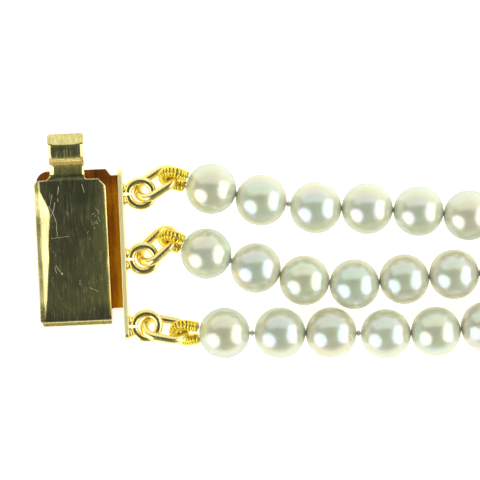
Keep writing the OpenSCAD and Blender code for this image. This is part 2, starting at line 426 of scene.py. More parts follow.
class Nodes:
    """A short way to write the node tree of a material or of the world."""

    def __init__(self, owner):
        self.owner = owner
        self.owner.use_nodes = True
        self.tree = owner.node_tree
        self.tree.nodes.clear()
        self.wavering = None

    def add(self, kind, **values):
        node = self.tree.nodes.new("ShaderNode" + kind)
        for key, value in values.items():
            setattr(node, key, value)
        return node

    def put(self, node, socket, value):
        if isinstance(value, bpy.types.NodeSocket):
            self.tree.links.new(value, node.inputs[socket])
        else:
            node.inputs[socket].default_value = value

    def made(self, kind, sockets, out=0, **values):
        node = self.add(kind, **values)
        for key, value in sockets.items():
            self.put(node, key, value)
        return node.outputs[out]

    def finish(self, shader, output="OutputMaterial"):
        self.put(self.add(output), "Surface", shader)
        return self.owner

    def place(self, scale=(1, 1, 1), turn=0.0):
        """Object coordinates in millimetres, stretched by scale after a turn about Z."""
        at = self.add("TexCoord").outputs["Object"]
        across = self.made("Mapping", {"Vector": at, "Rotation": (0, 0, rad(turn))})
        return self.made("Mapping", {"Vector": across, "Scale": tuple(s / MM for s in scale)})

    def attribute(self, name):
        return self.add("Attribute", attribute_name=name).outputs["Fac"]

    def noise(self, where, scale, detail=2.0, rough=0.5):
        return self.made(
            "TexNoise",
            {"Vector": where, "Scale": scale, "Detail": detail, "Roughness": rough},
        )

    def ramp(self, value, stops):
        node = self.add("ValToRGB")
        self.put(node, "Fac", value)
        band = node.color_ramp
        while len(band.elements) < len(stops):
            band.elements.new(0.5)
        for element, (at, colour) in zip(band.elements, stops):
            element.position = at
            element.color = (*colour, 1) if isinstance(colour, tuple) else (colour, colour, colour, 1)
        return node.outputs["Color"]

    def mix(self, fac, a, b, kind="MIX"):
        node = self.add("Mix", data_type="RGBA", blend_type=kind)
        self.put(node, 0, fac)
        self.put(node, 6, a)
        self.put(node, 7, b)
        return node.outputs[2]

    def math(self, kind, a, b):
        return self.made("Math", {0: a, 1: b}, operation=kind)

    def vector_math(self, kind, a, b, out=0):
        return self.made("VectorMath", {0: a, 1: b}, out=out, operation=kind)

    def seen_directly(self):
        return self.add("LightPath").outputs["Is Camera Ray"]

    def wavering_place(self):
        """Places seen from above, in millimetres, drifting a little so that no scratch is quite straight."""
        if self.wavering is None:
            flat = self.place((1, 1, 0))
            drift = self.made("TexNoise", {"Vector": flat, "Scale": 1.3, "Detail": 1.0}, out=1)
            aside = self.vector_math("MULTIPLY", drift, (STROKE_DRIFT, STROKE_DRIFT, 0))
            self.wavering = self.vector_math("ADD", flat, aside)
        return self.wavering

    def stroke(self, u0, v0, u1, v1, half):
        """1 on a line between two points of the clasp, seen from above, and 0 beyond twice its half width."""
        a, b = in_clasp(u0, v0), in_clasp(u1, v1)
        way = b - a
        mean_drift = np.array([STROKE_DRIFT, STROKE_DRIFT, 0]) / 2
        start = self.vector_math("SUBTRACT", self.wavering_place(), tuple(a + mean_drift))
        share = self.vector_math("DOT_PRODUCT", start, tuple(way / (way @ way)), out=1)
        share = self.math("MINIMUM", self.math("MAXIMUM", share, 0.0), 1.0)
        nearest = self.made("VectorMath", {0: tuple(way), 3: share}, operation="SCALE")
        off = self.vector_math("SUBTRACT", start, nearest)
        far = self.made("VectorMath", {0: off}, out=1, operation="LENGTH")
        return self.math("SUBTRACT", 1.0, self.math("MINIMUM", self.math("DIVIDE", far, half * 2), 1.0))


def gold_material(name, rough, scratch, wave, wear_and_painted_reflection=0.0, strokes=()):
    """Polished gold: fine scratches, a slow waviness from hand work, rounded edges and handling marks."""
    n = Nodes(bpy.data.materials.new(name))
    along = n.place((1, 0.035, 1), -CLASP_TURN)
    across = n.place((0.05, 1, 1), -CLASP_TURN - 28)
    plain = n.place()
    lines = n.ramp(n.noise(along, 5.0, 3.0, 0.6), [(0.54, 0.0), (0.70, 1.0)])
    cross = n.ramp(n.noise(across, 3.0, 2.0, 0.5), [(0.68, 0.0), (0.74, 1.0)])
    slow = n.noise(plain, 0.28, 1.0, 0.4)
    grain = n.noise(plain, 9.0, 3.0, 0.7)
    marks = n.math("MAXIMUM", lines, n.math("MULTIPLY", cross, 0.6))
    rough_value = n.math(
        "ADD",
        n.math("MULTIPLY", marks, 0.20 * scratch),
        n.math("ADD", n.math("MULTIPLY", grain, 0.05), rough - 0.02),
    )
    shade = n.mix(n.math("MULTIPLY", marks, 0.18 * scratch), YELLOW, PALE_GOLD)
    if wear_and_painted_reflection:
        shade, rough_value = wear(n, shade, rough_value, along, plain, wear_and_painted_reflection)
    if strokes:
        cut = n.stroke(*strokes[0])
        for stroke in strokes[1:]:
            cut = n.math("MAXIMUM", cut, n.stroke(*stroke))
        shade = n.mix(cut, shade, PALE_GOLD)
        rough_value = n.math("MAXIMUM", rough_value, n.math("MULTIPLY", cut, 0.62))
    soft_edge = n.made("Bevel", {"Radius": 0.00012}, samples=4)
    wavy = n.made(
        "Bump",
        {"Strength": wave, "Distance": 0.0006, "Height": slow, "Normal": soft_edge},
    )
    scored = n.made(
        "Bump",
        {"Strength": 0.08 * scratch, "Distance": 0.00002, "Height": marks, "Normal": wavy},
    )
    metal = {"Base Color": shade, "Metallic": 1.0, "Roughness": rough_value, "Normal": scored}
    # Only the strip gets painted reflection and painted shade of gold seen in gold.
    if wear_and_painted_reflection:
        painted_reflection_gold(n, metal, along, plain)
    return n.finish(n.made("BsdfPrincipled", metal))


def wear(n, shade, rough_value, along, plain, wear_and_painted_reflection):
    """Streaks of handling along the strip, rubbed margins, pale specks and duller patches."""
    streak = n.ramp(n.noise(along, 2.6, 4.0, 0.7), [(0.34, 0.62), (0.66, 1.0)])
    shade = n.mix(1.0, shade, streak, "MULTIPLY")
    rough_value = n.math("ADD", rough_value, n.math("MULTIPLY", n.attribute("rubbed"), 0.14))
    specks = n.ramp(n.noise(plain, 3.6, 2.0, 0.6), [(0.71, 0.0), (0.77, 1.0)])
    shade = n.mix(n.math("MULTIPLY", specks, 0.6), shade, PALE_GOLD)
    rough_value = n.math("ADD", rough_value, n.math("MULTIPLY", specks, 0.30))
    patch = n.ramp(n.noise(plain, 0.55, 3.0, 0.6), [(0.56, 0.0), (0.70, 1.0)])
    shade = n.mix(n.math("MULTIPLY", patch, wear_and_painted_reflection), shade, (0.78, 0.66, 0.38, 1))
    return shade, n.math("ADD", rough_value, n.math("MULTIPLY", patch, 0.08))


def painted_reflection_gold(n, metal, along, plain):
    """Painted reflection: orange-brown for gold reflected in gold in the strip's lower leaf, its dark tones
    painted shade, in streaks along it.
    """
    # film is the mask of the painted reflection and painted shade, not a thin film.
    film = n.attribute("painted_reflection")
    streaks = n.math("MULTIPLY", n.noise(along, 1.6, 3.0, 0.6), 0.6)
    clouds = n.math("MULTIPLY", n.noise(plain, 0.22, 2.0, 0.5), 0.5)
    lighter = n.math("MULTIPLY", n.attribute("painted_glow_and_shade"), 0.32)
    tone = n.math("ADD", n.math("ADD", streaks, clouds), lighter)
    # Painted light: from dark brown painted shade to bright orange painted reflection of gold in gold.
    painted_glow_and_shade = n.ramp(
        tone,
        [
            (0.34, (0.13, 0.05, 0.012)),
            (0.46, (0.36, 0.11, 0.006)),
            (0.58, (0.66, 0.20, 0.003)),
            (0.76, (1.0, 0.40, 0.003)),
        ],
    )
    metal["Base Color"] = n.mix(film, metal["Base Color"], painted_glow_and_shade)
    metal["Metallic"] = n.math("SUBTRACT", 1.0, n.math("MULTIPLY", film, 0.65))
    metal["Roughness"] = n.math("ADD", metal["Roughness"], n.math("MULTIPLY", film, 0.16))


def filed_material():
    """The plate's top edge: gold left as it was filed."""
    n = Nodes(bpy.data.materials.new("gold_filed"))
    file_marks = n.noise(n.place((0.08, 1, 1), -CLASP_TURN), 9.0, 3.0, 0.6)
    shade = n.mix(file_marks, (1.0, 0.86, 0.42, 1), PALE_GOLD)
    rough = n.math("ADD", n.math("MULTIPLY", file_marks, 0.12), 0.50)
    bump = n.made("Bump", {"Strength": 0.25, "Distance": 0.00003, "Height": file_marks})
    metal = {"Base Color": shade, "Metallic": 1.0, "Roughness": rough, "Normal": bump}
    return n.finish(n.made("BsdfPrincipled", metal))


def coil_material():
    n = Nodes(bpy.data.materials.new("coiled_gold"))
    shade = n.mix(n.noise(n.place(), 2.2), (0.95, 0.70, 0.06, 1), (1.0, 0.82, 0.13, 1))
    metal = {"Base Color": shade, "Metallic": 1.0, "Roughness": 0.24}
    return n.finish(n.made("BsdfPrincipled", metal))


def pearl_material():
    """Nacre: a cream body with a hard gloss and a thin film, each pearl with a tint and film of its own."""
    n = Nodes(bpy.data.materials.new("pearl"))
    tint = n.add("Attribute", attribute_name="tint").outputs["Color"]
    cloud = n.noise(n.place(), 0.35)
    body = n.mix(cloud, (0.68, 0.665, 0.465, 1), (0.73, 0.715, 0.515, 1))
    body = n.mix(1.0, body, tint, "MULTIPLY")
    dimples = n.made(
        "Bump",
        {"Strength": 0.04, "Distance": 0.00008, "Height": n.noise(n.place(), 0.9)},
    )
    nacre_skin = {
        "Base Color": body,
        "Metallic": 0.0,
        "Roughness": 0.24,
        "IOR": 4.0,
        "Subsurface Weight": 1.0,
        "Subsurface Radius": (1.0, 0.95, 0.8),
        "Subsurface Scale": 0.0018,
        "Thin Film Thickness": n.attribute("film"),
        "Thin Film IOR": 1.10,
        "Sheen Weight": 0.12,
        "Sheen Roughness": 0.35,
        "Sheen Tint": (1.0, 0.99, 0.90, 1),
        "Normal": dimples,
    }
    return n.finish(n.made("BsdfPrincipled", nacre_skin))


def silk_material():
    n = Nodes(bpy.data.materials.new("silk"))
    twist = n.noise(n.place((6, 1, 1)), 3.0)
    shade = n.mix(twist, (0.84, 0.79, 0.66, 1), (0.98, 0.94, 0.85, 1))
    bump = n.made("Bump", {"Strength": 0.4, "Distance": 0.00004, "Height": twist})
    cloth = {"Base Color": shade, "Roughness": 0.6, "Sheen Weight": 0.3, "Normal": bump}
    return n.finish(n.made("BsdfPrincipled", cloth))


def floor_material():
    """A pale card that glows like a light table: white in the picture, and a soft light from below."""
    n = Nodes(bpy.data.materials.new("white_card"))
    shade = n.mix(n.noise(n.place(), 0.02), (0.84, 0.84, 0.80, 1), (0.87, 0.87, 0.83, 1))
    card = n.made("BsdfDiffuse", {"Color": shade})
    glow = n.made("Emission", {"Color": WHITE, "Strength": FLOOR_GLOW})
    fill = n.made("Emission", {"Color": (1.0, 0.98, 0.86, 1), "Strength": FLOOR_FILL})
    lift = n.made("MixShader", {0: n.seen_directly(), 1: fill, 2: glow})
    return n.finish(n.made("AddShader", {0: card, 1: lift}))


gold_flat = gold_material("gold_strip", 0.11, 1.0, 0.10, 0.35, STROKES)
gold_cast = gold_material("gold_cast", 0.21, 0.5, 0.16)
gold_filed = filed_material()
coiled = coil_material()
nacre = pearl_material()
silk = silk_material()

FINISHES = {"pearls": nacre, "thread": silk, "gimp": coiled, "clasp_box": gold_flat}
for node_name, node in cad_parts.items():
    finishes = [finish for start, finish in FINISHES.items() if node_name.startswith(start)]
    node.data.materials.clear()
    node.data.materials.append(finishes[0] if finishes else gold_cast)


# Pearls and silk


def pearl(centre, along, r, rng):
    """One drilled pearl, a little out of round and flattened."""
    rows, cols = 26, 36
    squeeze = 1 + rng.uniform(-0.005, 0.0, 3)
    squeeze[2] *= min(1.0, PEARL_HALF_H / r)
    start = math.asin(BORE_R / r)
    across = unit(np.cross((0.0, 0.0, 1.0), along))
    up = np.cross(along, across)
    verts = []
    for i in range(rows + 1):
        t = start + (math.pi - 2 * start) * i / rows
        for j in range(cols):
            p = r * on_ball(t, 2 * math.pi * j / cols) * squeeze
            verts.append(centre + p[0] * along + p[1] * across + p[2] * up)
    faces = between_rings(rows + 1, cols)
    last = rows * cols
    faces += [[j, last + j, last + (j + 1) % cols, (j + 1) % cols] for j in range(cols)]
    return verts, faces


def pearl_tint(rng):
    """Cream with a green or a pink cast, as cultured pearls on one string have."""
    base = np.array([1.0, 1.0, 1.0]) * rng.uniform(0.94, 1.0)
    cast = rng.choice([0, 1, 2], p=[0.45, 0.3, 0.25])
    amount = rng.uniform(0.3, 1.0)
    shift = ([-0.06, 0.0, 0.035], [0.0, -0.05, 0.0], [0.0, -0.012, -0.07])[cast]
    return base + amount * np.array(shift)


def strand(name, seed):
    """The drilled pearls of one strand, as large as their neighbours leave room for."""
    rng = np.random.default_rng(seed)
    centres = PEARLS[name]
    parts, tints, films = [], [], []
    for k, c in enumerate(centres):
        prior, following = centres[max(k - 1, 0)], centres[min(k + 1, len(centres) - 1)]
        along = unit(following - prior)
        along[2] = 0.0
        room = min(np.linalg.norm(c - other) for other in (prior, following) if other is not c) / 2
        full = FULL_PEARL_R if 0 < k < len(centres) - 1 else END_PEARL_R
        r = min(full * rng.uniform(0.995, 1.0), room - PEARL_SPACE)
        centre = np.array([c[0], c[1], min(r, PEARL_HALF_H)])
        parts.append(pearl(centre, unit(along), r, rng))
        tints += [[*pearl_tint(rng), 1.0]] * len(parts[-1][0])
        films += [rng.uniform(*FILM_NM)] * len(parts[-1][0])
    verts, faces = joined(parts)
    obj = make("strand_" + name, verts, faces, nacre, 60)
    tint = obj.data.attributes.new("tint", "FLOAT_COLOR", "POINT")
    tint.data.foreach_set("color", np.array(tints, np.float32).ravel())
    film = obj.data.attributes.new("film", "FLOAT", "POINT")
    film.data.foreach_set("value", np.array(films, np.float32))
    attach(obj, "necklace")
    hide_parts("pearls_" + name)


def thread(name, seed):
    """The silk with a knot between every two pearls, fuller where they lie further apart."""
    rng = np.random.default_rng(seed)
    centres = PEARLS[name]
    path = [centres[0] - PEARL_R * unit(centres[1] - centres[0])]
    radii = [THREAD_R]
    for a, b in zip(centres, centres[1:]):
        mid, along = (a + b) / 2, unit(b - a)
        gap = np.linalg.norm(b - a) - 2 * PEARL_R
        wide = min(KNOT_R, TIGHT_KNOT_R + 0.3 * gap)
        half = min(KNOT_HALF, TIGHT_KNOT_HALF + 0.35 * gap)
        for share, fullness in KNOT_PROFILE:
            wobble = 1 + rng.uniform(-0.08, 0.0)
            path.append(mid + share * half * along)
            radii.append(THREAD_R + (wide - THREAD_R) * fullness * wobble)
    path.append(centres[-1] + PEARL_R * unit(centres[-1] - centres[-2]))
    radii.append(THREAD_R)
    verts, faces = sweep(path, radii, 10)
    obj = make("silk_" + name, verts, faces, silk, 60)
    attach(obj, "necklace")
    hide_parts("thread_" + name)


for number, strand_name in enumerate(STRANDS):
    strand(strand_name, 11 + number)
    thread(strand_name, 31 + number)


# Links and coiled wire


def link_frame(angle):
    """A link's long and short directions. It lies over to one side by LINK_ROLL."""
    c, s = math.cos(rad(LINK_ROLL)), math.sin(rad(LINK_ROLL))
    across = np.array([math.sin(rad(angle)) * c, -math.cos(rad(angle)) * c, s])
    return heading(angle), across


def link(name, ring, angle):
    """An oval link through the ring, from two half circles."""
    along, across = link_frame(angle)
    middle = ring + (LINK_HALF + LINK_R - LINK_BACK) * along
    path = []
    for side, start in ((1, -90), (-1, 90)):
        for k in range(17):
            a = rad(start + 180 * k / 16)
            reach = side * LINK_HALF + LINK_R * math.cos(a)
            path.append(middle + reach * along + LINK_R * math.sin(a) * across)
    even, _ = paced(path + path[:1], 0.16)
    verts, faces = sweep(even[:-1], LINK_WIRE / 2, 20, closed=True, ref=np.cross(along, across))
    obj = make("oval_" + name, verts, faces, gold_cast, 60)
    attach(obj, "necklace")
    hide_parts("link_" + name)


def gimp_path(ring, angle, eye):
    """The coiled wire's middle line, as part.scad has it, and the axis that it turns about on the link.

    It runs from the pearl round the link and back, and its two legs spread to lie side by side."""
    along, across = link_frame(angle)
    far = ring + (2 * LINK_HALF + LINK_R - LINK_BACK) * along
    pull = unit(eye - far)
    turn = math.atan2(pull @ across, pull @ along)
    hook = far + LINK_R * (math.cos(turn) * along + math.sin(turn) * across)
    wire = math.cos(turn) * across - math.sin(turn) * along
    toward = unit(eye - hook)
    axis = unit(wire - wire @ toward * toward)
    side = np.cross(axis, toward)
    flat = unit(np.cross(toward, (0.0, 0.0, 1.0)))
    level = flat if flat @ side > 0 else -flat
    aside = GIMP_SPREAD * unit(side + GIMP_LEAN * level)
    turn_r = GIMP_R + LINK_WIRE / 2 + GIMP_GAP
    reach = np.linalg.norm(eye - hook) - PEARL_R - SLIDE_GAP
    legs = []
    for s in np.linspace(0, 1, 13):
        e = ease(min(1.0, s / 0.8))
        legs.append((reach * s, (1 - e) * turn_r * side + e * aside))
    path = [hook + d * toward + w for d, w in reversed(legs[1:])]
    path += [
        hook + turn_r * (math.cos(t) * side - math.sin(t) * toward)
        for t in np.linspace(0, math.pi, 25)
    ]
    path += [hook + d * toward - w for d, w in legs[1:]]
    return path, axis


def gimp(name, ring, angle, eye, seed):
    """A tight coil of fine wire wound on that line, and the silk that runs inside it."""
    rng = np.random.default_rng(seed)
    line, axis = gimp_path(ring, angle, eye)
    steps_a_turn = 16
    path, length = paced(line, COIL_PITCH / steps_a_turn)
    tangent = np.gradient(path, axis=0)
    tangent /= np.linalg.norm(tangent, axis=1)[:, None]
    side = np.cross(axis, tangent)
    side /= np.linalg.norm(side, axis=1)[:, None]
    up = np.cross(tangent, side)
    s = np.linspace(0, length, len(path))
    uneven = np.interp(s, np.linspace(0, length, 12), rng.uniform(-1, 1, 12))
    turn = 2 * math.pi * s / COIL_PITCH + COIL_UNEVEN * uneven
    r = COIL_R - COIL_WIRE_R
    coil = path + r * (np.cos(turn)[:, None] * side + np.sin(turn)[:, None] * up)
    keep = (s > COIL_WIRE_R) & (s < length - COIL_WIRE_R)
    verts, faces = sweep(coil[keep], COIL_WIRE_R, 7)
    obj = make("coil_" + name, verts, faces, coiled, 60)
    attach(obj, "necklace")
    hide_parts("gimp_" + name)
    core, _ = paced(line, 0.3)
    verts, faces = sweep(core, CORE_R, 8, ref=axis)
    obj = make("core_" + name, verts, faces, silk, 60)
    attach(obj, "necklace")


for i, strand_name in enumerate(STRANDS):
    ends = (
        ("tongue", 0, PLATE_T / 2 + RING_OFF, LINK_TURN[i], 51),
        ("box", -1, BOX_X0 - BOX_AWAY - RING_OFF, BOX_LINK_TURN[i], 61),
    )
    for half, pearl_number, ring_x, angle, seed in ends:
        x, y, _ = PEARLS[strand_name][pearl_number]
        ring_at = in_clasp(ring_x, RING_Y[i], RING_Z)
        link(f"{half}_{i + 1}", ring_at, angle)
        gimp(f"{half}_{i + 1}", ring_at, angle, np.array([x, y, PEARL_R]), seed + i)


# The clasp's tongue


def filleted(points, radii):
    """A bent line with round corners, as (points, normals to its left) along it."""
    out, normals = [], []
    for i, p in enumerate(points):
        if i in (0, len(points) - 1):
            d = unit(points[1] - points[0]) if i == 0 else unit(points[-1] - points[-2])
            out.append(p)
            normals.append(left_of(d))
            continue
        a, b = unit(p - points[i - 1]), unit(points[i + 1] - p)
        bend = math.atan2(a[0] * b[1] - a[1] * b[0], a @ b)
        room = 0.48 * min(np.linalg.norm(p - points[i - 1]), np.linalg.norm(points[i + 1] - p))
        cut = min(radii[i] * math.tan(abs(bend) / 2), room)
        r = cut / math.tan(abs(bend) / 2)
        start = p - cut * a
        centre = start + r * left_of(a) * math.copysign(1, bend)
        for k in range(7):
            out.append(centre + turned(start - centre, bend * k / 6))
            normals.append(left_of(turned(a, bend * k / 6)))
    return out, normals


def fold_point(way, angle):
    """A point of the fold in a direction from its centre, and its face's tilt, as (reach, tilt).

    The fold is round but for a flat facet next to the leaf."""
    fall = math.tan(rad(FOLD_FLAT_TILT))
    edge = FOLD_R * np.array([math.sin(rad(FOLD_EDGE)), math.cos(rad(FOLD_EDGE))])
    tilt = angle - 90
    if FOLD_EDGE < tilt < 80 and way[1] > way[0] * fall:
        flat = (edge[1] + edge[0] * fall) / (way[1] - way[0] * fall)
        if 0 < flat and -flat * way[0] < FOLD_FLAT_END:
            return flat, FOLD_FLAT_TILT
    return FOLD_R, tilt


def strip_line():
    """The folded strip's outer face from the side: its points, their outward normals and the length so far.

    It runs from the thumb tab's end round the fold to the base's end."""
    neck = LEAF_L + NECK_L
    riser = neck + RISER_L
    brow = riser + BROW_L
    pad = brow + PAD_L
    top = FOLD_R + TAB_RISE
    corners = [
        ((pad + DROP_L, top - DROP_H), 0),
        ((pad, top), 0.35),
        ((brow, top), 0.4),
        ((riser, top - BROW_DROP), 0.12),
        ((riser - RISER_LIP, top - BROW_DROP - RISER_LIP_SLOPE * RISER_LIP), 0.06),
        ((neck, FOLD_R), 0.7),
        ((0.0, FOLD_R), 0),
    ]
    points, normals = filleted([np.array(p) for p, _ in corners], [r for _, r in corners])
    fold = np.array([FOLD_Y, FOLD_Z])
    out = [fold + turned(p, rad(LEAF_SLOPE)) for p in points]
    face = [turned(-n if n[1] < 0 else n, rad(LEAF_SLOPE)) for n in normals]
    for k in range(1, FOLD_STEPS + 1):
        angle = 90 + LEAF_SLOPE + (180 - LEAF_SLOPE) * k / FOLD_STEPS
        way = np.array([math.cos(rad(angle)), math.sin(rad(angle))])
        reach, tilt = fold_point(way, angle)
        out.append(fold + reach * way)
        face.append(np.array([-math.sin(rad(tilt)), math.cos(rad(tilt))]))
    out.append(np.array([BASE_Y1, BASE_Z]))
    face.append(np.array([0.0, -1.0]))
    s = [0.0]
    for p, q in zip(out, out[1:]):
        s.append(s[-1] + float(np.linalg.norm(q - p)))
    return np.array(out), np.array(face), np.array(s)


def corner(x, y, r, from_angle, to_angle, count=5):
    return [
        (x + r * math.cos(rad(t)), y + r * math.sin(rad(t)))
        for t in np.linspace(from_angle, to_angle, count)
    ]


def margin(inside, wide, tilt):
    """How far a sloping margin has gone down, at a distance inside the edge. Its border is a little soft."""
    x = wide - inside
    return math.tan(rad(tilt)) * (x + math.hypot(x, ROLL_SOFT)) / 2


def leaf_relief(inside, down, left):
    """The leaf's low crown and its pressed west margin, as (how far it stands proud, how rubbed it is)."""
    across = (STRIP_X1 - STRIP_X0) / 2
    crown = -LEAF_CROWN * ((inside - across) / across) ** 2
    crown += 4 * LEAF_ARCH * down * left / (down + left) ** 2
    border = np.interp(down, [p[0] for p in ROLL_BORDER], [p[1] for p in ROLL_BORDER])
    roll = margin(inside, border, ROLL_TILT)
    flatter = 1 - math.tan(rad(ROLL_LIP_TILT)) / math.tan(rad(ROLL_TILT))
    roll -= flatter * margin(inside, min(ROLL_LIP, border - 0.15), ROLL_TILT)
    roll += margin(2 * across - inside, 0.30, 9) + margin(2 * across - inside, 0.80, 2.5)
    proud = crown * ramp_up(left, 0.0, 2.4) - roll * ramp_up(left, 0.0, 0.5)
    return proud, ramp_up(border + 0.05 - inside, 0.0, 0.1)


class Strip:
    """The folded strip's side line, and how far along it from the tab's end its forms begin."""

    def __init__(self):
        self.line, self.face, self.s = strip_line()
        self.end = self.s[-1]
        self.fold = self.s[-2 - FOLD_STEPS]
        self.fold_middle = (self.fold + self.s[-2]) / 2
        self.shoulder = self.fold - LEAF_L
        self.crease = self.shoulder - NECK_L - RISER_L

    def base(self, v):
        """How far along the strip its lower leaf is at v on the clasp."""
        return self.end - (BASE_Y1 - v)

    def outline(self):
        """The strip laid out flat, as (across the clasp, along the strip), anticlockwise from the tab."""
        x0, x1 = STRIP_X0, STRIP_X1
        tab_x0, tab_x1 = NECK_X0 - TAB_FLARE, NECK_X1 + TAB_FLARE
        web_x, web_start, web_end = -PLATE_T / 4, self.base(WEB_Y[0]), self.base(WEB_Y[1])
        shoulder, fold = self.shoulder, self.fold_middle
        neck_end = shoulder - NECK_FILLET
        tab = corner(tab_x0 + TAB_CORNER, TAB_CORNER, TAB_CORNER, 180, 270)
        tab += corner(tab_x1 - TAB_CORNER, TAB_CORNER, TAB_CORNER, 270, 360)
        tab += [(tab_x1, DROP_L - 0.1), (NECK_X1, DROP_L + 0.15)]
        east = [(NECK_X1, neck_end), *corner(NECK_X1 + NECK_FILLET, neck_end, NECK_FILLET, 180, 90, 4)]
        east += [(x1 - 0.95, shoulder), (x1 - 0.08, shoulder + 0.9), (x1, shoulder + 1.05)]
        east += [(x1, fold - 0.55), (x1 - FOLD_NOTCH_EAST, fold - 0.15)]
        east += [(x1 - FOLD_NOTCH_EAST, fold + 0.15), (x1, fold + 0.55), (x1, web_start - WEB_FILLET)]
        web = corner(x1 + WEB_FILLET, web_start - WEB_FILLET, WEB_FILLET, 180, 90, 4)
        web += [(web_x, web_start), (web_x, web_end), (x1 + 0.6, web_end), (x1, self.end)]
        west = corner(x0 + 1.7, self.end - BASE_CORNER, BASE_CORNER, 90, 180, 8)
        west += [(x0 + 0.2, self.base(2.0)), (x0, fold + 1.3), (x0 + 0.35, fold + 0.5)]
        west += [(x0 + FOLD_NOTCH_WEST, fold), (x0 + 0.35, fold - 0.5), (x0, fold - 1.3)]
        west += corner(x0 + SHOULDER_CORNER, shoulder + SHOULDER_CORNER, SHOULDER_CORNER, 180, 270, 6)
        west += corner(NECK_X0 - NECK_HOLLOW, shoulder - NECK_HOLLOW, NECK_HOLLOW, 90, 0, 6)
        west += [(NECK_X0, DROP_L + 0.15), (tab_x0, DROP_L - 0.1)]
        return tab + east + web + west

    def cuts_across(self):
        """Where the strip is cut across, closer where it bends or where its relief changes."""
        cuts = list(self.s[1:-1])
        for a, b in zip(self.s, self.s[1:]):
            step = 0.28 if self.shoulder - 0.1 < (a + b) / 2 < self.fold else 0.6
            pieces = int(math.ceil((b - a) / step))
            cuts += [a + (b - a) * k / pieces for k in range(1, pieces)]
        for place, first, last, step in (
            (self.fold, -0.24, 0.5, 0.04),
            (self.crease, -0.24, 0.25, 0.04),
            (DROP_L, -0.24, 0.45, 0.06),
            (self.shoulder, -0.85, 0.15, 0.1),
        ):
            cuts += [place + w for w in np.arange(first, last, step)]
        return sorted(cuts)

    def cuts_along(self):
        """Where the strip is cut along, closer in its margins."""
        cuts = [STRIP_X0 + 0.09 * k for k in range(1, 26)]
        cuts += [STRIP_X0 + w for w in (2.8, 4.0, 5.2, 6.4, 7.6, 8.4)]
        cuts += [NECK_X0 + 0.1 * k for k in range(1, 8)]
        cuts += [NECK_X1 - 0.1 * k for k in range(1, 6)]
        cuts += [STRIP_X1 - 0.1 * k for k in range(1, 6)]
        return cuts

    def on_line(self, u, t):
        """The outer face's point and normal, from the side. The tab's end curves over in a low smile."""
        aside = (2 * u - NECK_X0 - NECK_X1) / (NECK_X1 - NECK_X0)
        on_drop = (1 - ramp_up(t, DROP_L, DROP_L + 0.8)) * ramp_up(t, 0.3, DROP_L)
        bent = t + TAB_SMILE * aside**2 * on_drop
        point = np.array([np.interp(t, self.s, self.line[:, 0]), np.interp(bent, self.s, self.line[:, 1])])
        normal = unit(np.array([np.interp(bent, self.s, self.face[:, k]) for k in range(2)]))
        return point, normal

    def relief(self, u, t):
        """The outer face's relief, as (how far it stands proud, how rubbed it is)."""
        rubbed = 0.0
        if t < self.crease:
            inner = ramp_up(t - DROP_L, 0.0, 0.3)
            rubbed = 0.6 * inner
            lift = -inner * (margin(u - NECK_X0, 0.30, 28) + margin(NECK_X1 - u, 0.34, 28))
            lift += swell(t - DROP_L, 0.22, 0.10, 0.02)
        elif t <= self.shoulder:
            lift = -margin(max(0.0, u - NECK_X0), 0.55, 17) - margin(max(0.0, NECK_X1 - u), 0.30, 24)
            lift *= 1 - ramp_up(t - self.shoulder, -0.85, -0.10)
            lift += self.neck_lift(t)
        else:
            lift, rubbed = leaf_relief(u - STRIP_X0, t - self.shoulder, self.fold - t)
        lift += swell(t - self.shoulder, -0.35, 0.22, 0.025)
        burr_at = FOLD_R * rad(FOLD_EDGE - LEAF_SLOPE)
        lift += swell(t - self.fold - burr_at, 0.0, 0.09, RIDGE_H)
        return lift, rubbed

    def neck_lift(self, t):
        """The neck sweeps up towards the riser, and the riser starts that much higher."""
        neck_start = self.shoulder - NECK_L
        if t < neck_start:
            return NECK_SWEEP * ramp_up(t, self.crease, neck_start)
        return NECK_SWEEP * ((self.shoulder - t) / NECK_L) ** 2

    def painted_reflection(self, t):
        """The lower leaf's painted reflection of gold in gold, and a thin line of it painted under the
        crease.
        """
        line = ramp_up(t, self.crease + 0.08, self.crease + 0.16)
        line *= 0.6 * (1 - ramp_up(t, self.crease + 0.3, self.crease + 0.8))
        return max(line, ramp_up(t, self.fold_middle - 0.2, self.fold_middle + 0.7))

    def painted_glow_and_shade(self, u, t):
        """Where the painted reflection is lighter, on the web, and darker with painted shade, at the base's
        end.
        """
        light = ramp_up(u, -1.3, -0.5) * ramp_up(self.end - t, 1.0, 4.0)
        return light - 0.3 * ramp_up(t, self.end - 3.0, self.end - 0.6)


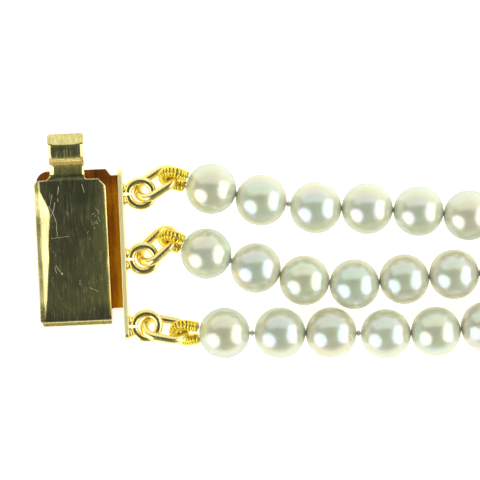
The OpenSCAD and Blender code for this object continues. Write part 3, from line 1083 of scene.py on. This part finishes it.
def folded_strip():
    """The whole folded strip as one piece, cut fine while it is flat and then bent to its line."""
    strip = Strip()
    outline = strip.outline()
    bm = bmesh.new()
    low = [bm.verts.new((u, t, -STRIP_T)) for u, t in outline]
    high = [bm.verts.new((u, t, 0)) for u, t in outline]
    bm.faces.new(list(reversed(low)))
    bm.faces.new(high)
    for corners in zip(low, low[1:] + low[:1], high[1:] + high[:1], high):
        bm.faces.new(corners)
    soften_rims(bm, low, STRIP_EDGE, True)
    for t in strip.cuts_across():
        slice_mesh(bm, (0, t, 0), (0, 1, 0))
    for u in strip.cuts_along():
        slice_mesh(bm, (u, 0, 0), (1, 0, 0))
    bmesh.ops.triangulate(bm, faces=[f for f in bm.faces if len(f.verts) > 4])

    # Masks for the painted reflection and painted shade of gold in gold, and for how rubbed and rough the
    # face is.
    marks = {name: bm.verts.layers.float.new(name) for name in ("painted_reflection", "painted_glow_and_shade", "rubbed")}
    for vert in bm.verts:
        u, t, depth = vert.co
        point, normal = strip.on_line(u, t)
        lift, rubbed = strip.relief(u, t)
        v, z = point + (depth + lift) * normal
        vert.co = Vector(in_clasp(u, v, z) * MM)
        vert[marks["painted_reflection"]] = strip.painted_reflection(t)
        vert[marks["painted_glow_and_shade"]] = strip.painted_glow_and_shade(u, t)
        vert[marks["rubbed"]] = rubbed
    mesh = bpy.data.meshes.new("folded_strip")
    bm.to_mesh(mesh)
    bm.free()
    obj = shown("folded_strip", mesh, gold_flat, 35)
    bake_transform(obj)
    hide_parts("spring_leaf")


def plate_part():
    """The end plate, with round corners and soft edges."""
    h, half, r = CLASP_H, CLASP_L / 2, PLATE_CORNER
    outline = []
    for y, z, a in ((half - r, h - r, 0), (r - half, h - r, 90), (r - half, r, 180), (half - r, r, 270)):
        outline += corner(y, z, r, a, a + 90, 7)
    bm = bmesh.new()
    west = [bm.verts.new((-PLATE_T / 2, y, z)) for y, z in outline]
    east = [bm.verts.new((PLATE_T / 2, y, z)) for y, z in outline]
    bm.faces.new(west)
    bm.faces.new(list(reversed(east)))
    for corners in zip(west, east, east[1:] + east[:1], west[1:] + west[:1]):
        bm.faces.new(corners)
    soften_rims(bm, west, PLATE_EDGE, False)
    bm.verts.index_update()
    verts = [in_clasp(*v.co) for v in bm.verts]
    faces = [[v.index for v in f.verts] for f in bm.faces]
    bm.free()
    return verts, faces


def ring_part(x, y):
    """A ring bent from wire with flattened sides, its ends meeting at the plate."""
    path = []
    for a in np.linspace(186, 534, 60):
        path.append(in_clasp(x + RING_R * math.cos(rad(a)), y + RING_R * math.sin(rad(a)), RING_Z))
    return sweep(path, RING_WIRE / 2, 24, square=2.4)


def solder_part(x, y, rng):
    """A foot of solder that holds one end of a ring to the plate, with a grainy skin."""
    rows, cols = 16, 26
    middle = in_clasp(x - RING_OFF + SOLDER_SUNK, y, RING_Z)
    u, v = in_clasp(1, 0) - in_clasp(0, 0), in_clasp(0, 1) - in_clasp(0, 0)
    verts = []
    for i in range(rows + 1):
        for j in range(cols):
            lump = 1 + rng.uniform(-0.10, 0.05)
            p = on_ball(math.pi * i / rows, 2 * math.pi * j / cols) * SOLDER_SIZE * lump
            verts.append(middle + p[0] * u + p[1] * v + p[2] * np.array([0, 0, 1.0]))
    return verts, between_rings(rows + 1, cols)


def ringed_plate():
    """The end plate with its three rings and their solder. Its top edge is filed."""
    rng = np.random.default_rng(5)
    ring_x = PLATE_T / 2 + RING_OFF
    parts = [plate_part()] + [ring_part(ring_x, y) for y in RING_Y]
    smooth = sum(len(faces) for _, faces in parts)
    for y in RING_Y:
        parts += [solder_part(ring_x, y + aside, rng) for aside in (SOLDER_ASIDE, -SOLDER_ASIDE)]
    verts, faces = joined(parts)
    obj = make("ringed_plate", verts, faces, gold_cast, 35)
    obj.data.materials.append(gold_filed)
    for face in obj.data.polygons:
        if face.normal.z > 0.7 and face.center.z > (CLASP_H - 0.02) * MM and face.index < smooth:
            face.material_index = 1
    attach(obj, "necklace")
    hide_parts("clasp_tongue")


folded_strip()
ringed_plate()


# Floor, light and camera

shot_x, shot_y = SHIFT * MM

bpy.ops.mesh.primitive_plane_add(size=FLOOR_SIZE, location=(shot_x, shot_y, FLOOR_Z))
floor = bpy.context.object
floor.name = "floor"
floor.data.materials.append(floor_material())


def softbox(name, azimuth, elevation, distance, wide, high, radiance, colour, shape):
    """A lamp of even brightness that faces the middle of the picture. Its sizes are in metres."""
    light = bpy.data.lights.new(name, "AREA")
    light.shape = shape
    light.size = wide
    light.size_y = high
    light.energy = radiance * wide * high * math.pi * (math.pi / 4 if shape == "ELLIPSE" else 1)
    light.color = colour
    obj = bpy.data.objects.new(name, light)
    a, e = rad(azimuth), rad(elevation)
    way = Vector((math.cos(a) * math.cos(e), math.sin(a) * math.cos(e), math.sin(e)))
    obj.location = Vector((shot_x, shot_y, 0)) + way * distance
    obj.rotation_mode = "QUATERNION"
    obj.rotation_quaternion = way.to_track_quat("Z", "Y")
    obj.visible_camera = False
    bpy.context.scene.collection.objects.link(obj)


softbox("light_right", -5, 26, 1.3, 1.95, 1.75, 2.0, COOL, "ELLIPSE")
softbox("light_left", 214, 27, 1.3, 1.40, 1.60, 2.2, COOL, "ELLIPSE")
softbox("light_back", 92, 32, 1.4, 4.0, 1.75, 0.90, (0.95, 1.0, 0.98), "RECTANGLE")


def studio_world():
    """A dim room for the reflections, lighter at the horizon and to one side, and white behind the scene."""
    world = bpy.data.worlds.new("studio")
    bpy.context.scene.world = world
    n = Nodes(world)
    way = n.add("TexCoord").outputs["Generated"]
    height = n.made("SeparateXYZ", {0: way}, out=2)
    side = n.math("MAXIMUM", n.vector_math("DOT_PRODUCT", way, BRIGHT_SIDE, out=1), 0.0)
    room = n.mix(1.0, n.ramp(height, ROOM_TONES), n.ramp(side, SIDE_TONES), "ADD")
    dim = n.made("Background", {"Color": room, "Strength": 1.0})
    white = n.made("Background", {"Color": WHITE, "Strength": 1.0})
    n.finish(n.made("MixShader", {0: n.seen_directly(), 1: dim, 2: white}), "OutputWorld")


studio_world()

camera_data = bpy.data.cameras.new("camera")
camera_data.sensor_width = SENSOR
camera_data.lens = SENSOR * (CAMERA_Z - PEARL_R * MM) / PICTURE_W
camera = bpy.data.objects.new("camera", camera_data)
camera.location = (shot_x, shot_y, CAMERA_Z)
bpy.context.scene.collection.objects.link(camera)
bpy.context.scene.camera = camera
bpy.context.scene.view_settings.view_transform = "Standard"

bpy.context.view_layer.update()
